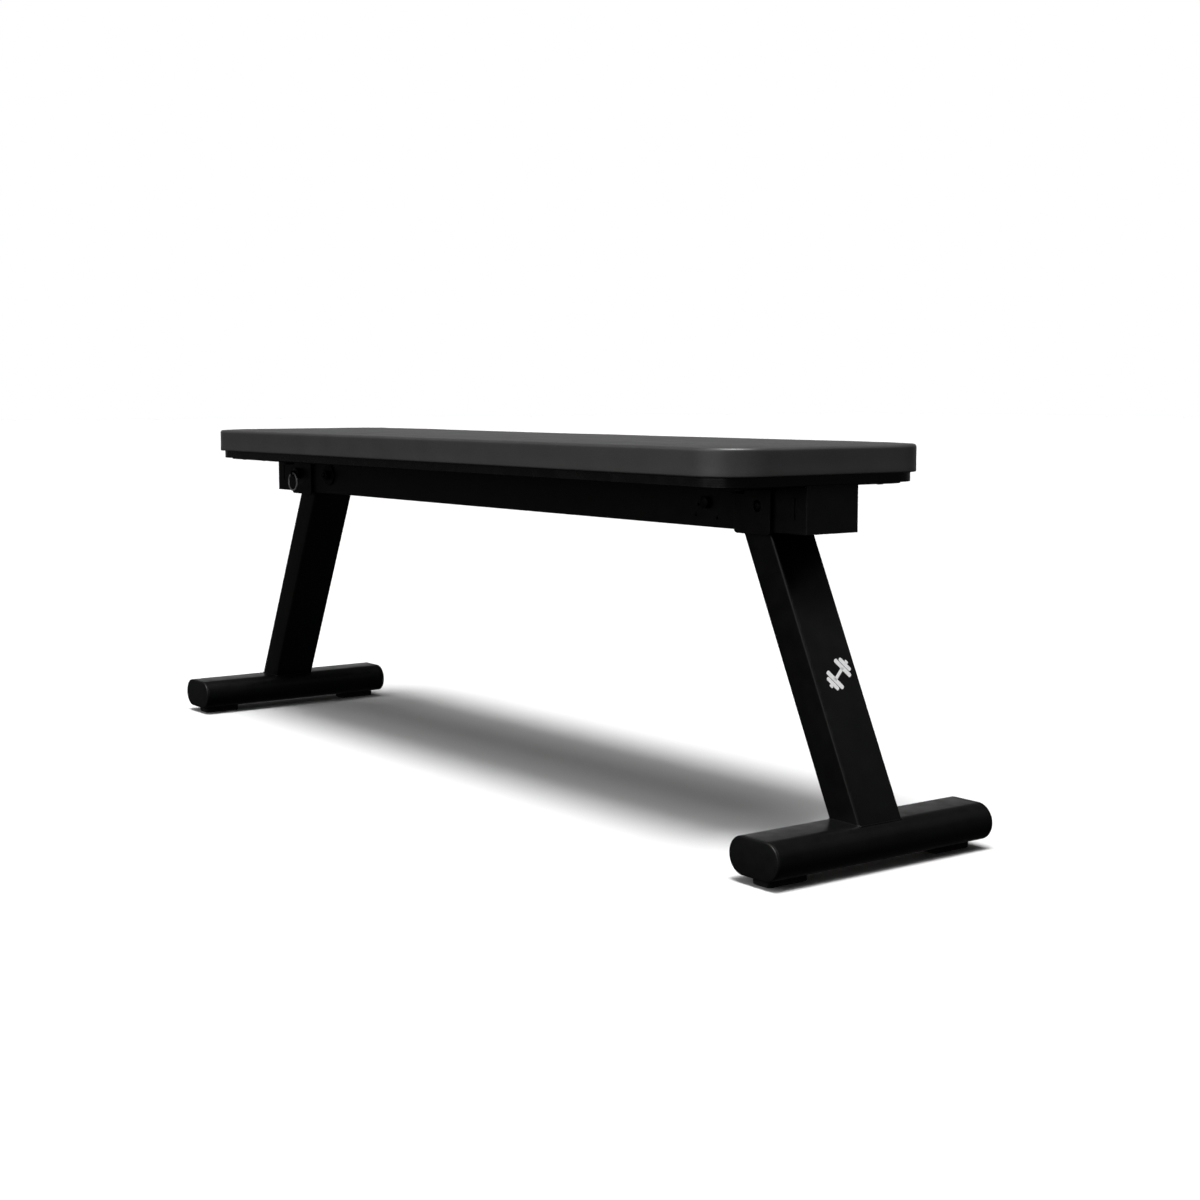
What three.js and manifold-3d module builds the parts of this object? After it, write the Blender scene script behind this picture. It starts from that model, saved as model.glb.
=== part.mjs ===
// Flat weight bench with fold-down legs. Millimetres, +Z up.
// The origin is on the floor under the middle of the bench, with +X along the pad.
// The two ends are the same: the left one is the right one turned half a turn about Z.
import * as THREE from 'three';
import { mergeVertices } from 'three/addons/utils/BufferGeometryUtils.js';
import Module from 'manifold-3d';

const wasm = await Module();
wasm.setup();

// Driving dimensions
const GAP = 0.3;                                    // left between pieces that touch

const PAD = { halfX: 586.7, halfY: 146.8, corner: 50, low: 397.7, high: 428, edge: 8 };
const BOARD = { inset: 7, low: 387.5, high: PAD.low - GAP };
const BACKING = { inset: 17.5, low: 385.5, high: BOARD.low - GAP };

const SPINE = { halfX: 579, halfY: 36, low: 337, high: BACKING.low - GAP, wall: 2.6 };
const END_CAP = { outerX: 581.6, high: BOARD.low - GAP, wall: 2.5, plug: 20 };
const SLOT = { x: 563.7, halfWidth: 1.2, low: 352, high: 374.6 };
const SMALL_HOLES = { radius: 2, at: [[409.1, 360.6], [404.6, 349.1], [440.2, 347.3]] };
const BRACKET = { x0: 472.4, x1: 530.1, low: 333.7, plate: 3.8, reach: 80, corner: 5 };

const PIVOT = { x: 423.3, z: 363.8, shank: 4, hole: 4.4 };
const LOCK = { x: 509.5, z: 363.8, shank: 5, hole: 5.4, plateHole: 6.2, head: 8, headLength: 6 };
const RING = { radius: 12.5, wire: 1.1, hole: 1.7, lug: 4, lugWidth: 4, y: 49.8 };

const LEG = { width: 61.2, slope: 0.476, innerX: 635.8, outerX: 681, wall: 2.5, corner: 3, top: 354 };
const EAR = { thick: 2.1, hub: 15.5, low: 340, high: LOCK.z + 4, reach: 12 };
const FOOT = { x: 635.3, halfY: 152.8, low: 8.9, high: 48.8, halfX: 36.5, wall: 2, cap: 3.5, plug: 12 };
const RUBBER = { width: 25, y0: 90, y1: 143, high: FOOT.low - GAP, corner: 3 };

const BOLT = { shank: 4, hole: 4.4, acrossFlats: 13, head: 5.3, lowHead: 4, nut: 6.5 };
const PAD_BOLT = { x: 501.5, y: 60.2 };
const TEE_NUT = { bore: 4.3, barrel: 4.9, flange: 10, flangeThick: 1.3 };

// Materials
const finish = (color, roughness, metalness) =>
  new THREE.MeshStandardMaterial({ color, roughness, metalness });
const VINYL = finish(0x2b2b2c, 0.55, 0);
const BLACK_BOARD = finish(0x08080a, 0.35, 0);
const BACKING_CLOTH = finish(0x060606, 0.9, 0);
const BLACK_PAINT = finish(0x0a0a0b, 0.4, 0.2);
const BLACK_PLASTIC = finish(0x0b0b0c, 0.45, 0);
const BLACK_RUBBER = finish(0x0a0a0a, 0.85, 0);
const ZINC = finish(0x9a9b9c, 0.35, 1);
const BRIGHT_STEEL = finish(0xc8c8c8, 0.25, 1);

// Solids and booleans
function toSolid(geometry) {
  const bare = geometry.clone();
  bare.deleteAttribute('normal');
  bare.deleteAttribute('uv');
  const welded = mergeVertices(bare, 1e-4);
  return new wasm.Manifold(new wasm.Mesh({
    numProp: 3,
    vertProperties: new Float32Array(welded.attributes.position.array),
    triVerts: new Uint32Array(welded.index.array),
  }));
}

function toGeometry(solid) {
  const mesh = solid.getMesh();
  const geometry = new THREE.BufferGeometry();
  geometry.setAttribute('position', new THREE.BufferAttribute(mesh.vertProperties, 3));
  geometry.setIndex(new THREE.BufferAttribute(mesh.triVerts, 1));
  geometry.computeVertexNormals();
  return geometry;
}

function join(...geometries) {
  const [first, ...rest] = geometries.map(toSolid);
  return toGeometry(rest.reduce((all, next) => all.add(next), first));
}

function cut(geometry, ...tools) {
  return toGeometry(tools.reduce((left, tool) => left.subtract(toSolid(tool)), toSolid(geometry)));
}

function common(a, b) {
  return toGeometry(toSolid(a).intersect(toSolid(b)));
}

// Outlines
function roundedRect(halfWidth, halfHeight, radius) {
  const shape = new THREE.Shape();
  shape.moveTo(halfWidth, -halfHeight + radius);
  shape.absarc(halfWidth - radius, halfHeight - radius, radius, 0, Math.PI / 2);
  shape.absarc(-halfWidth + radius, halfHeight - radius, radius, Math.PI / 2, Math.PI);
  shape.absarc(-halfWidth + radius, -halfHeight + radius, radius, Math.PI, 1.5 * Math.PI);
  shape.absarc(halfWidth - radius, -halfHeight + radius, radius, 1.5 * Math.PI, 2 * Math.PI);
  return shape;
}

// Prisms: the outline lies across the named axis and is extruded from low to high along it
function prismZ(shape, low, high, curveSegments = 3) {
  const options = { depth: high - low, bevelEnabled: false, curveSegments };
  return new THREE.ExtrudeGeometry(shape, options).translate(0, 0, low);
}

function prismY(shape, low, high, curveSegments = 3) {
  return prismZ(shape, 0, high - low, curveSegments).rotateX(Math.PI / 2).translate(0, high, 0);
}

function box(x0, x1, y0, y1, z0, z1) {
  const shape = new THREE.BoxGeometry(x1 - x0, y1 - y0, z1 - z0);
  return shape.translate((x0 + x1) / 2, (y0 + y1) / 2, (z0 + z1) / 2);
}

function rodY(radius, x, z, y0, y1, sides = 24) {
  return new THREE.CylinderGeometry(radius, radius, y1 - y0, sides).translate(x, (y0 + y1) / 2, z);
}

function rodZ(radius, x, y, z0, z1, sides = 24) {
  const rod = new THREE.CylinderGeometry(radius, radius, z1 - z0, sides).rotateX(Math.PI / 2);
  return rod.translate(x, y, (z0 + z1) / 2);
}

const hexRadius = (acrossFlats) => acrossFlats / Math.sqrt(3);

// The distances a to b from the middle plane as low and high Y, on the side that sign says
const onSide = (sign, a, b) => (sign > 0 ? [a, b] : [-b, -a]);

// The seat
function cushion() {
  const inner = PAD.edge;
  const shape = roundedRect(PAD.halfX - inner, PAD.halfY - inner, PAD.corner - inner);
  return new THREE.ExtrudeGeometry(shape, {
    depth: PAD.high - PAD.low - 2 * inner,
    bevelThickness: inner,
    bevelSize: inner,
    bevelSegments: 4,
    curveSegments: 5,
  }).translate(0, 0, PAD.low + inner);
}

// One tool at each of the four pad bolts
function atPadBolts(tool) {
  const tools = [];
  for (const signX of [1, -1]) {
    for (const signY of [1, -1]) {
      tools.push(tool(signX * PAD_BOLT.x, signY * PAD_BOLT.y));
    }
  }
  return tools;
}

function insetSheet(sheet, ...holes) {
  const shape = roundedRect(PAD.halfX - sheet.inset, PAD.halfY - sheet.inset, PAD.corner - sheet.inset);
  return cut(prismZ(shape, sheet.low, sheet.high, 5), ...holes);
}

function board() {
  const seat = TEE_NUT.flangeThick + 2 * GAP;
  return insetSheet(
    BOARD,
    ...atPadBolts((x, y) => rodZ(TEE_NUT.barrel + GAP, x, y, BOARD.low - 1, BOARD.high + 1)),
    ...atPadBolts((x, y) => rodZ(TEE_NUT.flange + GAP, x, y, BOARD.high - seat, BOARD.high + 1)),
  );
}

function backingSheet() {
  return insetSheet(
    BACKING,
    ...atPadBolts((x, y) => rodZ(BOLT.hole, x, y, BACKING.low - 1, BACKING.high + 1)),
  );
}

function teeNut() {
  const top = BOARD.high - GAP;
  const under = top - TEE_NUT.flangeThick;
  const profile = [
    [TEE_NUT.bore, BOARD.low + 1],
    [TEE_NUT.barrel, BOARD.low + 1],
    [TEE_NUT.barrel, under],
    [TEE_NUT.flange, under],
    [TEE_NUT.flange, top],
    [TEE_NUT.bore, top],
    [TEE_NUT.bore, BOARD.low + 1],
  ];
  const lathe = new THREE.LatheGeometry(profile.map(([r, z]) => new THREE.Vector2(r, z)), 24);
  return lathe.rotateX(Math.PI / 2);
}

function padBolt() {
  const under = SPINE.high - BRACKET.plate - GAP;
  const head = rodZ(hexRadius(BOLT.acrossFlats), 0, 0, under - BOLT.lowHead, under, 6);
  return join(head, rodZ(BOLT.shank, 0, 0, under - 1, BOARD.high - 2 * GAP));
}

// The spine
function spineChannel() {
  const { halfX, halfY, low, high, wall } = SPINE;
  const holes = [];
  for (const sign of [1, -1]) {
    const slotX = sign * SLOT.x;
    holes.push(rodY(PIVOT.hole, sign * PIVOT.x, PIVOT.z, -halfY - 1, halfY + 1));
    holes.push(rodY(LOCK.hole, sign * LOCK.x, LOCK.z, -halfY - 1, halfY + 1));
    holes.push(box(slotX - SLOT.halfWidth, slotX + SLOT.halfWidth, -halfY - 1, halfY + 1,
      SLOT.low, SLOT.high));
    for (const [x, z] of SMALL_HOLES.at) {
      holes.push(rodY(SMALL_HOLES.radius, sign * x, z, ...onSide(-sign, halfY - wall - 1, halfY + 1), 12));
    }
  }
  return cut(
    box(-halfX, halfX, -halfY, halfY, low, high),
    box(-halfX - 1, halfX + 1, -halfY + wall, halfY - wall, low - 1, high - wall),
    ...holes,
  );
}

// A plate over the channel's end, with a hollow plug whose two catches sit in the side slots
function endCap() {
  const { halfX, halfY, low, high, wall } = SPINE;
  const face = halfX + GAP;
  const plugX = face - END_CAP.plug;
  const plugY = halfY - wall - GAP;
  const plugTop = high - wall - GAP;
  const catchY = plugY + 2;
  const whole = join(
    box(face, END_CAP.outerX, -halfY, halfY, low, END_CAP.high),
    box(plugX, face + 1, -plugY, plugY, low + GAP, plugTop),
    box(SLOT.x - SLOT.halfWidth + GAP, SLOT.x + SLOT.halfWidth - GAP, -catchY, catchY,
      SLOT.low + GAP, SLOT.high - GAP),
  );
  const hollow = box(plugX - 1, face, -plugY + END_CAP.wall, plugY - END_CAP.wall,
    low + GAP + END_CAP.wall, plugTop - END_CAP.wall);
  return cut(whole, hollow);
}

function sideBracket(sign) {
  const { x0, x1, low, plate, reach, corner } = BRACKET;
  const near = SPINE.halfY + GAP;
  const top = SPINE.high;
  const outline = new THREE.Shape();
  outline.moveTo(x0, top);
  outline.lineTo(x0, low + corner);
  outline.absarc(x0 + corner, low + corner, corner, Math.PI, 1.5 * Math.PI);
  outline.absarc(x1 - corner, low + corner, corner, 1.5 * Math.PI, 2 * Math.PI);
  outline.lineTo(x1, top);
  return cut(
    join(
      prismY(outline, ...onSide(sign, near, near + plate)),
      box(x0, x1, ...onSide(sign, near, reach), top - plate, top),
    ),
    rodY(LOCK.plateHole, LOCK.x, LOCK.z, ...onSide(sign, near - 1, near + plate + 1)),
    rodZ(BOLT.hole, PAD_BOLT.x, sign * PAD_BOLT.y, top - plate - 1, top + 1),
  );
}

// The pivot: a bolt across the spine, its head on the -Y side and its nut on the +Y side
function pivotBolt() {
  const seat = SPINE.halfY + GAP;
  const head = rodY(hexRadius(BOLT.acrossFlats), PIVOT.x, PIVOT.z, -seat - BOLT.head, -seat, 6);
  return join(head, rodY(PIVOT.shank, PIVOT.x, PIVOT.z, -seat - 1, SPINE.halfY + 12));
}

const WASHER = { radius: 15, thick: 2 };

function pivotWasher() {
  const y0 = SPINE.halfY + GAP;
  const y1 = y0 + WASHER.thick;
  return cut(
    rodY(WASHER.radius, PIVOT.x, PIVOT.z, y0, y1, 32),
    rodY(PIVOT.hole, PIVOT.x, PIVOT.z, y0 - 1, y1 + 1),
  );
}

function pivotNut() {
  const y0 = SPINE.halfY + WASHER.thick + 2 * GAP;
  const y1 = y0 + BOLT.nut;
  return cut(
    rodY(hexRadius(BOLT.acrossFlats), PIVOT.x, PIVOT.z, y0, y1, 6),
    rodY(PIVOT.hole, PIVOT.x, PIVOT.z, y0 - 1, y1 + 1),
  );
}

function pivotBush() {
  const half = LEG.width / 2;
  return cut(
    rodY(PIVOT.shank + 3.5, PIVOT.x, PIVOT.z, -half, half),
    rodY(PIVOT.hole, PIVOT.x, PIVOT.z, -half - 1, half + 1),
  );
}

// The lock pin goes across the spine above the leg and is drawn out by the ring on its head
function lockPin() {
  const seat = SPINE.halfY + BRACKET.plate + 2 * GAP;
  const faceY = seat + LOCK.headLength;
  const tip = -SPINE.halfY - BRACKET.plate - GAP;
  const chamfer = 1.5;
  const lug = new THREE.CylinderGeometry(RING.lug, RING.lug, RING.lugWidth, 20)
    .rotateZ(Math.PI / 2)
    .translate(LOCK.x, RING.y, LOCK.z);
  const neck = box(
    LOCK.x - RING.lugWidth / 2, LOCK.x + RING.lugWidth / 2,
    faceY - 1, RING.y,
    LOCK.z - RING.lug, LOCK.z + RING.lug,
  );
  const eye = new THREE.CylinderGeometry(RING.hole, RING.hole, RING.lugWidth + 2, 16)
    .rotateZ(Math.PI / 2)
    .translate(LOCK.x, RING.y, LOCK.z);
  const taper = new THREE.CylinderGeometry(LOCK.shank, LOCK.shank - chamfer, chamfer, 24)
    .translate(LOCK.x, tip + chamfer / 2, LOCK.z);
  return cut(
    join(
      rodY(LOCK.shank, LOCK.x, LOCK.z, tip + chamfer, seat + 1),
      taper,
      rodY(LOCK.head, LOCK.x, LOCK.z, seat, faceY, 32),
      lug,
      neck,
    ),
    eye,
  );
}

function pullRing() {
  return new THREE.TorusGeometry(RING.radius, RING.wire, 8, 32).rotateX(Math.PI / 2);
}

// The leg
const legTilt = Math.atan(LEG.slope);
const legThick = (LEG.outerX - LEG.innerX) * Math.cos(legTilt);

// The foot bar's outline in the XZ plane, grown or shrunk by an offset
function footOutline(offset) {
  const radius = (FOOT.high - FOOT.low) / 2 + offset;
  const shape = roundedRect(FOOT.halfX + offset, radius, radius - 0.001);
  return shape;
}

const footMiddle = (FOOT.high + FOOT.low) / 2;

function footPrism(offset, y0, y1) {
  return prismY(footOutline(offset), y0, y1, 5).translate(FOOT.x, 0, footMiddle);
}

function legTube() {
  const section = (inset) =>
    roundedRect(legThick / 2 - inset, LEG.width / 2 - inset, Math.max(LEG.corner - inset, 0.8));
  const length = 420;
  const place = (geometry) => {
    const middleX = (LEG.innerX + LEG.outerX) / 2;
    return geometry.rotateY(-legTilt).translate(middleX, 0, 0);
  };
  const outer = place(prismZ(section(0), -20, length));
  const inner = place(prismZ(section(LEG.wall), -40, length + 20, 2));
  const between = box(300, 800, -100, 100, footMiddle, LEG.top);
  const tube = common(cut(outer, inner), between);
  return cut(tube, footPrism(GAP, -100, 100));
}

// A side plate from the pivot to the lock pin, which sits in a notch in its top edge
function legEar(sign) {
  const near = LEG.width / 2 + GAP;
  const far = near + EAR.thick;
  const notch = LOCK.hole;
  const outer = LOCK.x + EAR.reach;
  const outline = new THREE.Shape();
  outline.moveTo(outer, EAR.low + EAR.reach);
  outline.lineTo(outer, EAR.high);
  outline.lineTo(LOCK.x + notch, EAR.high);
  outline.lineTo(LOCK.x + notch, LOCK.z);
  outline.absarc(LOCK.x, LOCK.z, notch, 0, -Math.PI, true);
  outline.lineTo(LOCK.x - notch, EAR.high);
  outline.absarc(PIVOT.x, PIVOT.z, EAR.hub, Math.PI / 2, 1.5 * Math.PI);
  outline.lineTo(outer - EAR.reach, EAR.low);
  outline.absarc(outer - EAR.reach, EAR.low + EAR.reach, EAR.reach, 1.5 * Math.PI, 2 * Math.PI);
  return cut(
    prismY(outline, ...onSide(sign, near, far), 6),
    rodY(PIVOT.hole, PIVOT.x, PIVOT.z, ...onSide(sign, near - 1, far + 1)),
  );
}

const SCREW = { shank: 2.1, hole: 2.6, head: 4.8, recess: 5.4, headLow: 1.2, headHigh: 4, end: 16 };
const rubberMiddle = (RUBBER.y0 + RUBBER.y1) / 2;

function footBar() {
  const end = FOOT.halfY - FOOT.cap - GAP;
  const holes = [1, -1].map((sign) =>
    rodZ(SCREW.hole, FOOT.x, sign * rubberMiddle, FOOT.low - 1, FOOT.low + FOOT.wall + 1, 16));
  return cut(footPrism(0, -end, end), footPrism(-FOOT.wall, -end - 1, end + 1), ...holes);
}

function footCap(sign) {
  const face = FOOT.halfY - FOOT.cap;
  const plug = -FOOT.wall - GAP;
  const hollow = plug - FOOT.wall;
  return cut(
    join(
      footPrism(0, ...onSide(sign, face, FOOT.halfY)),
      footPrism(plug, ...onSide(sign, face - FOOT.plug, face + 1)),
    ),
    footPrism(hollow, ...onSide(sign, face - FOOT.plug - 1, face)),
  );
}

function rubberFoot(sign) {
  const shape = roundedRect(RUBBER.width / 2, (RUBBER.y1 - RUBBER.y0) / 2, RUBBER.corner);
  return cut(
    prismZ(shape, 0, RUBBER.high).translate(FOOT.x, sign * rubberMiddle, 0),
    rodZ(SCREW.recess, FOOT.x, sign * rubberMiddle, -1, SCREW.headHigh + GAP),
    rodZ(SCREW.hole, FOOT.x, sign * rubberMiddle, -1, RUBBER.high + 1, 16),
  );
}

function footScrew(sign) {
  const y = sign * rubberMiddle;
  return join(
    rodZ(SCREW.head, FOOT.x, y, SCREW.headLow, SCREW.headHigh, 24),
    rodZ(SCREW.shank, FOOT.x, y, SCREW.headHigh - 1, SCREW.end, 12),
  );
}

// The scene graph
const bench = new THREE.Group();

function add(parent, name, geometry, material) {
  const mesh = new THREE.Mesh(geometry, material);
  mesh.name = name;
  parent.add(mesh);
  return mesh;
}

add(bench, 'pad_cushion', cushion(), VINYL);
add(bench, 'pad_board', board(), BLACK_BOARD);
add(bench, 'pad_backing_sheet', backingSheet(), BACKING_CLOTH);
add(bench, 'spine_channel', spineChannel(), BLACK_PAINT);

// The pieces of one end, in the right end's place
function buildEnd(side) {
  const end = new THREE.Group();

  add(end, `${side}_channel_end_cap`, endCap(), BLACK_PLASTIC);

  add(end, `${side}_pivot_bolt`, pivotBolt(), ZINC);
  add(end, `${side}_pivot_washer`, pivotWasher(), BLACK_PAINT);
  add(end, `${side}_pivot_nut`, pivotNut(), BLACK_PAINT);
  add(end, `${side}_pivot_bush`, pivotBush(), ZINC);
  add(end, `${side}_lock_pin`, lockPin(), ZINC);

  const ring = add(end, `${side}_pull_ring`, pullRing(), BRIGHT_STEEL);
  ring.position.set(LOCK.x, RING.y, LOCK.z - RING.radius);

  add(end, `${side}_leg_tube`, legTube(), BLACK_PAINT);
  add(end, `${side}_foot_bar`, footBar(), BLACK_PAINT);

  for (const [hand, sign] of [['a', -1], ['b', 1]]) {
    add(end, `${side}_side_bracket_${hand}`, sideBracket(sign), BLACK_PAINT);
    const bolt = add(end, `${side}_bracket_bolt_${hand}`, padBolt(), ZINC);
    bolt.position.set(PAD_BOLT.x, sign * PAD_BOLT.y, 0);
    const nut = add(end, `${side}_tee_nut_${hand}`, teeNut(), ZINC);
    nut.position.set(PAD_BOLT.x, sign * PAD_BOLT.y, 0);
    add(end, `${side}_leg_ear_${hand}`, legEar(sign), BLACK_PAINT);
    add(end, `${side}_foot_cap_${hand}`, footCap(sign), BLACK_PLASTIC);
    add(end, `${side}_rubber_foot_${hand}`, rubberFoot(sign), BLACK_RUBBER);
    add(end, `${side}_foot_screw_${hand}`, footScrew(sign), ZINC);
  }
  return end;
}

const right = buildEnd('right');
const left = buildEnd('left');
left.rotation.z = Math.PI;
bench.add(right, left);

export default bench;
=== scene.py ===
"""Flat weight bench with fold-down legs: the looks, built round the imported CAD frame, in metres."""
import math

import bmesh
import bpy
from mathutils import Matrix, Vector, kdtree, noise


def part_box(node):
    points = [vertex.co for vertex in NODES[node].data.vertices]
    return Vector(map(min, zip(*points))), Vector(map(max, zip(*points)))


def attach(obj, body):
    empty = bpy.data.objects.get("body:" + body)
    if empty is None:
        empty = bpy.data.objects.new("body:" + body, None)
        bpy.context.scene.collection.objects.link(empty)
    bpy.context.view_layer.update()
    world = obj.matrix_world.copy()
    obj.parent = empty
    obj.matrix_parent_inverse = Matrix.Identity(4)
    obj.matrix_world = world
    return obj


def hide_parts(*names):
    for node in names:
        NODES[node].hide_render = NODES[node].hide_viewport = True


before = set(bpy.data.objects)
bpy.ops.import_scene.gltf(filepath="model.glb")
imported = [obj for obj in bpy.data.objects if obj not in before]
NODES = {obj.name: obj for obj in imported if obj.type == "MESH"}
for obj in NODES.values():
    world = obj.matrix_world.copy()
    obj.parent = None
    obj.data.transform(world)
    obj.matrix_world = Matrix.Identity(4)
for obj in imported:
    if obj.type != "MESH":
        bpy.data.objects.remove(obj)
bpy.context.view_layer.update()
MM = 0.001
END = {"right": Matrix.Identity(4), "left": Matrix.Rotation(math.pi, 4, "Z")}
HANDS = {"a": -1, "b": 1}

# the 8 mm bolts: radius, thread pitch and width across the flats
M8_RADIUS = 4 * MM
M8_PITCH = 1.25 * MM
M8_ACROSS = 13 * MM


# ---------------------------------------------------------------- camera, floor and lights

CAMERA_AT = (1.9917, -1.3492, 0.4812)
CAMERA_AZIMUTH = 53.31
CAMERA_DOWN = 6.265
CAMERA_LENS = 56.57

# the overhead light: its slope from the vertical, then angular size and strength of core and halo
KEY_SLOPE = (0.222, -0.195)
KEY_PARTS = {"key_core": (18.5, 2.62), "key_halo": (43, 1.6)}

# the studio's own glow, and that of the backdrop: (sine of the height above the horizon, radiance)
SKY = ((-1.0, 0.012), (0.0, 0.034), (0.5, 0.03), (1.0, 0.05))
BACKDROP = ((-0.03, 0.0), (0.0, 0.75), (0.06, 0.68), (0.14, 0.46), (0.21, 0.2), (0.35, 0.02))
BACKDROP_AZIMUTH = 233
BACKDROP_REACH = (0.6, 0.95)

# soft boxes, aimed at this height: azimuth, elevation, distance, width, height, power
SOFTBOX_AIM = 0.3
SOFTBOXES = {"front_box": (-1, 26, 3.4, 4.5, 2.8, 39), "end_box": (140, 30, 3.4, 2.2, 1.6, 0.8)}

FLOOR_ALBEDO = 0.83
FLOOR_HALF = 30


def direction(azimuth, elevation):
    """The unit vector from the object towards something at that azimuth and elevation, in degrees."""
    a, e = math.radians(azimuth), math.radians(elevation)
    return Vector((math.sin(a) * math.cos(e), -math.cos(a) * math.cos(e), math.sin(e)))


def aim(obj, back):
    """Turns a camera or light so that it looks against the direction given and links it to the scene."""
    obj.rotation_mode = "QUATERNION"
    obj.rotation_quaternion = back.to_track_quat("Z", "Y")
    bpy.context.collection.objects.link(obj)


def make_camera():
    data = bpy.data.cameras.new("camera")
    data.lens = CAMERA_LENS
    data.sensor_width = 36
    camera = bpy.data.objects.new("camera", data)
    camera.location = CAMERA_AT
    aim(camera, direction(CAMERA_AZIMUTH, CAMERA_DOWN))
    bpy.context.scene.camera = camera


def glow_by_height(nodes, links, height, levels):
    """A ramp from the sine of the height above the horizon to radiance."""
    share = nodes.new("ShaderNodeMapRange")
    share.inputs["From Min"].default_value = -1
    links.new(height, share.inputs["Value"])
    ramp = nodes.new("ShaderNodeValToRGB")
    elements = ramp.color_ramp.elements
    elements.remove(elements[1])
    for n, (sine, radiance) in enumerate(levels):
        stop = elements[0] if n == 0 else elements.new((sine + 1) / 2)
        stop.position = (sine + 1) / 2
        stop.color = (radiance, radiance, radiance, 1)
    links.new(share.outputs["Result"], ramp.inputs["Fac"])
    glow = nodes.new("ShaderNodeBackground")
    links.new(ramp.outputs["Color"], glow.inputs["Color"])
    return glow


def make_world():
    """White where the camera sees it; elsewhere a dim studio with a paler backdrop behind the bench."""
    world = bpy.data.worlds.new("studio")
    bpy.context.scene.world = world
    world.use_nodes = True
    nodes, links = world.node_tree.nodes, world.node_tree.links
    nodes.clear()
    towards = nodes.new("ShaderNodeTexCoord")
    split = nodes.new("ShaderNodeSeparateXYZ")
    links.new(towards.outputs["Generated"], split.inputs["Vector"])
    sky = glow_by_height(nodes, links, split.outputs["Z"], SKY)
    backdrop = glow_by_height(nodes, links, split.outputs["Z"], BACKDROP)
    facing = nodes.new("ShaderNodeVectorMath")
    facing.operation = "DOT_PRODUCT"
    facing.inputs[1].default_value = direction(BACKDROP_AZIMUTH, 0)
    links.new(towards.outputs["Generated"], facing.inputs[0])
    reach = nodes.new("ShaderNodeMapRange")
    reach.inputs["From Min"].default_value, reach.inputs["From Max"].default_value = BACKDROP_REACH
    links.new(facing.outputs["Value"], reach.inputs["Value"])
    links.new(reach.outputs["Result"], backdrop.inputs["Strength"])
    both = nodes.new("ShaderNodeAddShader")
    links.new(sky.outputs["Background"], both.inputs[0])
    links.new(backdrop.outputs["Background"], both.inputs[1])
    seen = nodes.new("ShaderNodeBackground")
    seen.inputs["Color"].default_value = (1, 1, 1, 1)
    path = nodes.new("ShaderNodeLightPath")
    mix = nodes.new("ShaderNodeMixShader")
    out = nodes.new("ShaderNodeOutputWorld")
    links.new(path.outputs["Is Camera Ray"], mix.inputs["Fac"])
    links.new(both.outputs["Shader"], mix.inputs[1])
    links.new(seen.outputs["Background"], mix.inputs[2])
    links.new(mix.outputs["Shader"], out.inputs["Surface"])


def make_floor():
    """A pale matt floor that throws no light back at the bench."""
    mesh = bpy.data.meshes.new("floor")
    turns = ((-1, -1), (1, -1), (1, 1), (-1, 1))
    mesh.from_pydata([(FLOOR_HALF * x, FLOOR_HALF * y, 0) for x, y in turns], [], [(0, 1, 2, 3)])
    floor = bpy.data.objects.new("floor", mesh)
    bpy.context.collection.objects.link(floor)
    material = bpy.data.materials.new("pale_floor")
    material.use_nodes = True
    shader = material.node_tree.nodes["Principled BSDF"]
    shader.inputs["Base Color"].default_value = (FLOOR_ALBEDO, FLOOR_ALBEDO, FLOOR_ALBEDO, 1)
    shader.inputs["Roughness"].default_value = 1
    shader.inputs["Specular IOR Level"].default_value = 0
    mesh.materials.append(material)
    floor.visible_glossy = False
    floor.visible_diffuse = False


def make_lights():
    for name, (angle, strength) in KEY_PARTS.items():
        data = bpy.data.lights.new(name, "SUN")
        data.energy = strength
        data.angle = math.radians(angle)
        aim(bpy.data.objects.new(name, data), Vector((*KEY_SLOPE, 1)))
    for name, (azimuth, elevation, distance, width, height, power) in SOFTBOXES.items():
        data = bpy.data.lights.new(name, "AREA")
        data.shape = "RECTANGLE"
        data.size = width
        data.size_y = height
        data.energy = power
        box = bpy.data.objects.new(name, data)
        towards = direction(azimuth, elevation)
        box.location = Vector((0, 0, SOFTBOX_AIM)) + towards * distance
        aim(box, towards)


def make_studio():
    make_camera()
    make_world()
    make_floor()
    make_lights()
    view = bpy.context.scene.view_settings
    view.view_transform = "Standard"
    view.look = "None"


# ---------------------------------------------------------------- materials

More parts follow.
